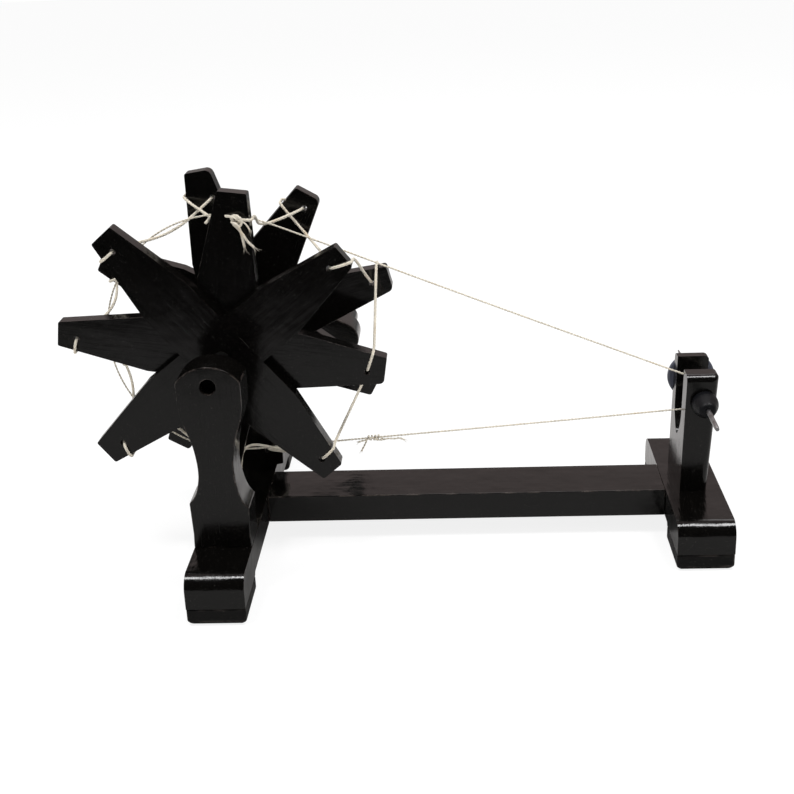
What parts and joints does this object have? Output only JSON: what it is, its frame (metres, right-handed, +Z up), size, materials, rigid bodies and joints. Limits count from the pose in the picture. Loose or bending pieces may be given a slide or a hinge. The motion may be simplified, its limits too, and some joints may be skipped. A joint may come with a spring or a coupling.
{
  "type": "miniature spinning wheel",
  "caption": "Small upright charkha: a hand-turned spoked wheel laced with cord drives a steel spindle on a forked post through a cord band, on two wooden feet joined by a rail.",
  "frame": {"origin": "on the floor under the middle of the whole object's bounding box", "axes": "+X along the rail from the wheel to the spindle, +Y along the axle towards the crank, +Z up"},
  "size_m": [0.3165, 0.2108, 0.1809],
  "materials": {
    "lacquered_wood": "near-black brown lacquer, gloss, softened edges",
    "bead_wood": "turned and polished dark lacquer",
    "spindle_steel": "drawn steel rod",
    "lacing_cotton": "twisted natural cotton cord",
    "band_cotton": "thin twisted natural cotton twine"
  },
  "bodies": {
    "frame": {"wheel_foot": "lacquered_wood", "spindle_foot": "lacquered_wood", "wheel_foot_pad_front": "lacquered_wood", "wheel_foot_pad_rear": "lacquered_wood", "spindle_foot_pad_front": "lacquered_wood", "spindle_foot_pad_rear": "lacquered_wood", "rail": "lacquered_wood", "front_post": "lacquered_wood", "rear_post": "lacquered_wood", "spindle_fork": "lacquered_wood", "drive_band": "band_cotton", "band_knot": "band_cotton"},
    "wheel": {"axle": "lacquered_wood", "hub_core": "lacquered_wood", "front_board_1": "lacquered_wood", "front_board_2": "lacquered_wood", "front_board_3": "lacquered_wood", "front_board_4": "lacquered_wood", "rear_board_1": "lacquered_wood", "rear_board_2": "lacquered_wood", "rear_board_3": "lacquered_wood", "rear_board_4": "lacquered_wood", "crank_arm": "lacquered_wood", "crank_handle": "lacquered_wood", "lacing_cord": "lacing_cotton", "lacing_knot": "lacing_cotton"},
    "spindle": {"spindle_rod": "spindle_steel", "whorl": "lacquered_wood", "front_bead": "bead_wood", "rear_disc": "bead_wood"}
  },
  "joints": [
    {"name": "wheel_spin", "type": "hinge", "parent": "frame", "child": "wheel", "pos_m": [-0.0809, -0.0079, 0.10375], "axis": [0, 1, 0], "continuous": true},
    {"name": "spindle_spin", "type": "hinge", "parent": "frame", "child": "spindle", "pos_m": [0.1469, -0.0079, 0.0705], "axis": [0, 1, 0], "continuous": true}
  ],
  "couplings": [
    {"joint": "spindle_spin", "follows": "wheel_spin", "ratio": 8.882}
  ]
}
